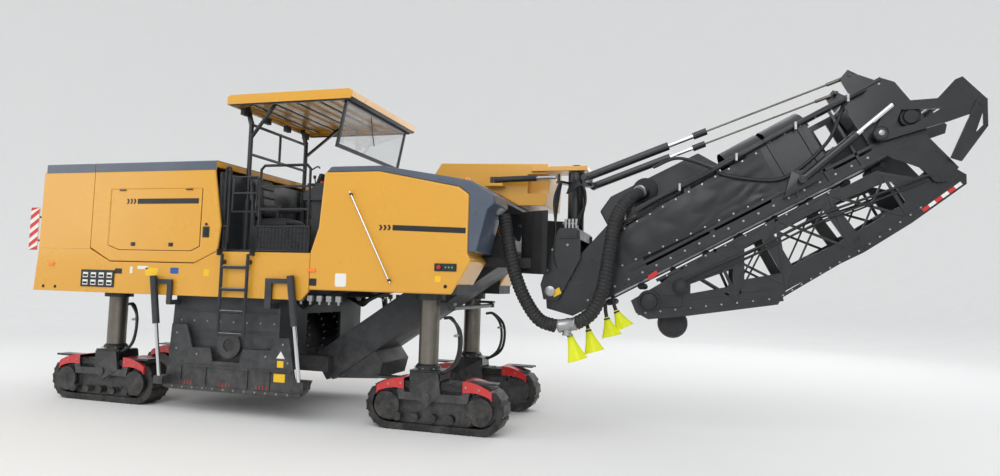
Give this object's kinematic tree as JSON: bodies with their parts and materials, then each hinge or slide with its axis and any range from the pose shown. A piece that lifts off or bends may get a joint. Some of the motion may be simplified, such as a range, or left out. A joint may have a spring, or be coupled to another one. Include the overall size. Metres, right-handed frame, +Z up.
{
  "type": "cold planer milling machine",
  "caption": "Tracked cold planer: central milling drum in a box, canopied driver's platform and a slewing, lifting front loading conveyor folded back under itself.",
  "frame": {"origin": "middle of the footprint, at the ground under the tracks", "axes": "+X forward towards the loading conveyor, +Y to the machine's left, +Z up"},
  "size_m": [11.77, 2.65, 4.255],
  "materials": {
    "yellow": "semi-gloss yellow paint",
    "grey": "semi-gloss blue-grey paint",
    "dark": "satin dark grey paint",
    "iron": "worn dark iron",
    "column": "dull ground steel",
    "rubber": "matt black rubber",
    "tarp": "matt black coated cloth",
    "chrome": "polished chrome",
    "seat": "black synthetic leather"
  },
  "bodies": {
    "chassis": {"main_frame": "dark", "engine_block": "iron", "lower_hull_right": "yellow", "lower_hull_left": "yellow", "rear_housing": "yellow", "front_hull_right": "yellow", "front_hull_left": "yellow", "front_top_cover": "grey", "mast_bridge": "yellow", "platform": "dark", "guard_rail_right": "dark", "guard_rail_left": "dark", "seat_right": "seat", "seat_left": "seat", "drum_housing": "dark", "scraper": "dark", "primary_conveyor": "dark", "transfer_hopper": "dark", "suction_hose_rear": "rubber"},
    "hood": {"engine_hood": "yellow"},
    "hood_door_right_body": {"hood_door_right": "yellow"},
    "gate_right_body": {"gate_right": "dark"},
    "hood_door_left_body": {"hood_door_left": "yellow"},
    "gate_left_body": {"gate_left": "dark"},
    "canopy_body": {"canopy": "yellow"},
    "window_body": {"window_frame": "dark"},
    "ladder_right_body": {"ladder_right": "dark"},
    "ladder_left_body": {"ladder_left": "dark"},
    "drum": {"milling_drum": "iron"},
    "side_plate_right_body": {"side_plate_right": "dark"},
    "side_plate_left_body": {"side_plate_left": "dark"},
    "front_right_undercarriage": {"leg_front_right": "column", "track_front_right": "iron"},
    "front_left_undercarriage": {"leg_front_left": "column", "track_front_left": "iron"},
    "rear_right_undercarriage": {"leg_rear_right": "column", "track_rear_right": "iron"},
    "rear_left_undercarriage": {"leg_rear_left": "column", "track_rear_left": "iron"},
    "tie_rod_body": {"tie_rod": "dark"},
    "slew_frame": {"slew_mast": "dark", "suction_hose_front": "rubber"},
    "conveyor": {"conveyor_frame": "dark", "conveyor_belt": "rubber", "side_tarp_right": "tarp", "side_tarp_left": "tarp", "belt_cover": "dark"},
    "folded_end": {"folded_section": "dark"},
    "fold_arm_body": {"fold_arm": "dark"},
    "fold_link_body": {"fold_link": "dark"},
    "lift_barrel_right_body": {"lift_barrel_right": "dark"},
    "lift_rod_right_body": {"lift_rod_right": "chrome"},
    "fold_barrel_right_body": {"fold_barrel_right": "dark"},
    "fold_rod_right_body": {"fold_rod_right": "chrome"},
    "lift_barrel_left_body": {"lift_barrel_left": "dark"},
    "lift_rod_left_body": {"lift_rod_left": "chrome"},
    "fold_barrel_left_body": {"fold_barrel_left": "dark"},
    "fold_rod_left_body": {"fold_rod_left": "chrome"},
    "slew_barrel_body": {"slew_barrel": "yellow"},
    "slew_rod_body": {"slew_rod": "chrome"}
  },
  "joints": [
    {"name": "hood_tilt", "type": "hinge", "parent": "chassis", "child": "hood", "pos_m": [-4.935, 0, 3.255], "axis": [0, -1, 0], "range_deg": [0, 45]},
    {"name": "hood_door_right_swing", "type": "hinge", "parent": "hood", "child": "hood_door_right_body", "pos_m": [-3.895, -1.22, 2.895], "axis": [-1, 0, 0], "range_deg": [0, 80]},
    {"name": "hood_door_left_swing", "type": "hinge", "parent": "hood", "child": "hood_door_left_body", "pos_m": [-3.895, 1.22, 2.895], "axis": [1, 0, 0], "range_deg": [0, 80]},
    {"name": "gate_right_swing", "type": "hinge", "parent": "chassis", "child": "gate_right_body", "pos_m": [-2.385, -1.15, 2.835], "axis": [0, 0, -1], "range_deg": [0, 90]},
    {"name": "gate_left_swing", "type": "hinge", "parent": "chassis", "child": "gate_left_body", "pos_m": [-2.385, 1.15, 2.835], "axis": [0, 0, 1], "range_deg": [0, 90]},
    {"name": "canopy_lower", "type": "slide", "parent": "chassis", "child": "canopy_body", "axis": [0, 0, 1], "range_m": [-0.6, 0]},
    {"name": "window_fold", "type": "hinge", "parent": "canopy_body", "child": "window_body", "pos_m": [-1.295, 0, 4.0827], "axis": [0, 1, 0], "range_deg": [0, 65]},
    {"name": "ladder_right_fold", "type": "hinge", "parent": "chassis", "child": "ladder_right_body", "pos_m": [-2.565, -1.3, 2.07], "axis": [-1, 0, 0], "range_deg": [0, 170]},
    {"name": "ladder_left_fold", "type": "hinge", "parent": "chassis", "child": "ladder_left_body", "pos_m": [-2.565, 1.3, 2.07], "axis": [1, 0, 0], "range_deg": [0, 170]},
    {"name": "drum_spin", "type": "hinge", "parent": "chassis", "child": "drum", "pos_m": [-2.705, 0, 0.885], "axis": [0, 1, 0], "continuous": true},
    {"name": "side_plate_right_slide", "type": "slide", "parent": "chassis", "child": "side_plate_right_body", "axis": [-0.1478, 0, 0.989], "range_m": [-0.2, 0.2]},
    {"name": "side_plate_left_slide", "type": "slide", "parent": "chassis", "child": "side_plate_left_body", "axis": [-0.1478, 0, 0.989], "range_m": [-0.2, 0.2]},
    {"name": "steer_front_right", "type": "hinge", "parent": "chassis", "child": "front_right_undercarriage", "pos_m": [-0.085, -0.83, 0.795], "axis": [0, 0, 1], "range_deg": [-15, 15]},
    {"name": "steer_front_left", "type": "hinge", "parent": "chassis", "child": "front_left_undercarriage", "pos_m": [-0.085, 0.83, 0.795], "axis": [0, 0, 1], "range_deg": [-15, 15]},
    {"name": "tie_rod_pivot", "type": "hinge", "parent": "front_right_undercarriage", "child": "tie_rod_body", "pos_m": [0.195, -0.83, 1.455], "axis": [0, 0, 1], "range_deg": [-15, 15]},
    {"name": "steer_rear_right", "type": "hinge", "parent": "chassis", "child": "rear_right_undercarriage", "pos_m": [-4.775, -0.83, 0.795], "axis": [0, 0, 1], "range_deg": [-15, 15]},
    {"name": "steer_rear_left", "type": "hinge", "parent": "chassis", "child": "rear_left_undercarriage", "pos_m": [-4.775, 0.83, 0.795], "axis": [0, 0, 1], "range_deg": [-15, 15]},
    {"name": "slew", "type": "hinge", "parent": "chassis", "child": "slew_frame", "pos_m": [1.535, 0, 1.695], "axis": [0, 0, 1], "range_deg": [-50, 50], "deforming": ["suction_hose_rear"]},
    {"name": "lift", "type": "hinge", "parent": "slew_frame", "child": "conveyor", "pos_m": [1.335, 0, 1.695], "axis": [0, -1, 0], "range_deg": [-10, 10], "deforming": ["suction_hose_front"]},
    {"name": "fold", "type": "hinge", "parent": "conveyor", "child": "folded_end", "pos_m": [5.495, 0, 3.105], "axis": [0, -1, 0], "range_deg": [0, 178]},
    {"name": "fold_arm_swing", "type": "hinge", "parent": "conveyor", "child": "fold_arm_body", "pos_m": [4.885, 0, 3.475], "axis": [0, -1, 0], "range_deg": [-18, 0.5]},
    {"name": "fold_link_swing", "type": "hinge", "parent": "fold_arm_body", "child": "fold_link_body", "pos_m": [5.825, 0, 3.765], "axis": [0, -1, 0], "range_deg": [-5.5, 0.5]},
    {"name": "fold_barrel_right_swing", "type": "hinge", "parent": "conveyor", "child": "fold_barrel_right_body", "pos_m": [4.115, -0.635, 2.995], "axis": [0, -1, 0], "range_deg": [-5.2, 0.5]},
    {"name": "fold_rod_right_slide", "type": "slide", "parent": "fold_barrel_right_body", "child": "fold_rod_right_body", "axis": [0.747, 0, 0.6649], "range_m": [-0.005, 0.04]},
    {"name": "fold_barrel_left_swing", "type": "hinge", "parent": "conveyor", "child": "fold_barrel_left_body", "pos_m": [4.115, 0.635, 2.995], "axis": [0, -1, 0], "range_deg": [-5.2, 0.5]},
    {"name": "fold_rod_left_slide", "type": "slide", "parent": "fold_barrel_left_body", "child": "fold_rod_left_body", "axis": [0.747, 0, 0.6649], "range_m": [-0.005, 0.04]},
    {"name": "lift_barrel_right_swing", "type": "hinge", "parent": "slew_frame", "child": "lift_barrel_right_body", "pos_m": [1.705, -0.35, 3.095], "axis": [0, -1, 0], "range_deg": [-13.5, 13.5]},
    {"name": "lift_rod_right_slide", "type": "slide", "parent": "lift_barrel_right_body", "child": "lift_rod_right_body", "axis": [0.9362, 0, 0.3515], "range_m": [-0.22, 0.22]},
    {"name": "lift_barrel_left_swing", "type": "hinge", "parent": "slew_frame", "child": "lift_barrel_left_body", "pos_m": [1.705, 0.35, 3.095], "axis": [0, -1, 0], "range_deg": [-13.5, 13.5]},
    {"name": "lift_rod_left_slide", "type": "slide", "parent": "lift_barrel_left_body", "child": "lift_rod_left_body", "axis": [0.9362, 0, 0.3515], "range_m": [-0.22, 0.22]},
    {"name": "slew_barrel_swing", "type": "hinge", "parent": "chassis", "child": "slew_barrel_body", "pos_m": [0.475, -0.18, 3.115], "axis": [0, 0, 1], "range_deg": [-8, 8]},
    {"name": "slew_rod_slide", "type": "slide", "parent": "slew_barrel_body", "child": "slew_rod_body", "axis": [0.9879, -0.1554, 0], "range_m": [-0.26, 0.26]}
  ],
  "couplings": [
    {"joint": "window_fold", "follows": "canopy_lower", "rad_per_m": -1.89},
    {"joint": "steer_front_left", "follows": "steer_front_right", "ratio": 1},
    {"joint": "tie_rod_pivot", "follows": "steer_front_right", "ratio": -1},
    {"joint": "steer_rear_left", "follows": "steer_rear_right", "ratio": 1},
    {"joint": "fold_arm_swing", "follows": "fold", "ratio": -0.099719},
    {"joint": "fold_link_swing", "follows": "fold", "ratio": -0.029494},
    {"joint": "fold_barrel_right_swing", "follows": "fold", "ratio": -0.027247},
    {"joint": "fold_rod_right_slide", "follows": "fold", "m_per_rad": 0.011524},
    {"joint": "fold_barrel_left_swing", "follows": "fold", "ratio": -0.027247},
    {"joint": "fold_rod_left_slide", "follows": "fold", "m_per_rad": 0.011524},
    {"joint": "lift_barrel_right_swing", "follows": "lift", "ratio": 1.268},
    {"joint": "lift_rod_right_slide", "follows": "lift", "m_per_rad": -1.1806},
    {"joint": "lift_barrel_left_swing", "follows": "lift", "ratio": 1.268},
    {"joint": "lift_rod_left_slide", "follows": "lift", "m_per_rad": -1.1806},
    {"joint": "slew_barrel_swing", "follows": "slew", "ratio": -0.1312},
    {"joint": "slew_rod_slide", "follows": "slew", "m_per_rad": 0.28}
  ]
}
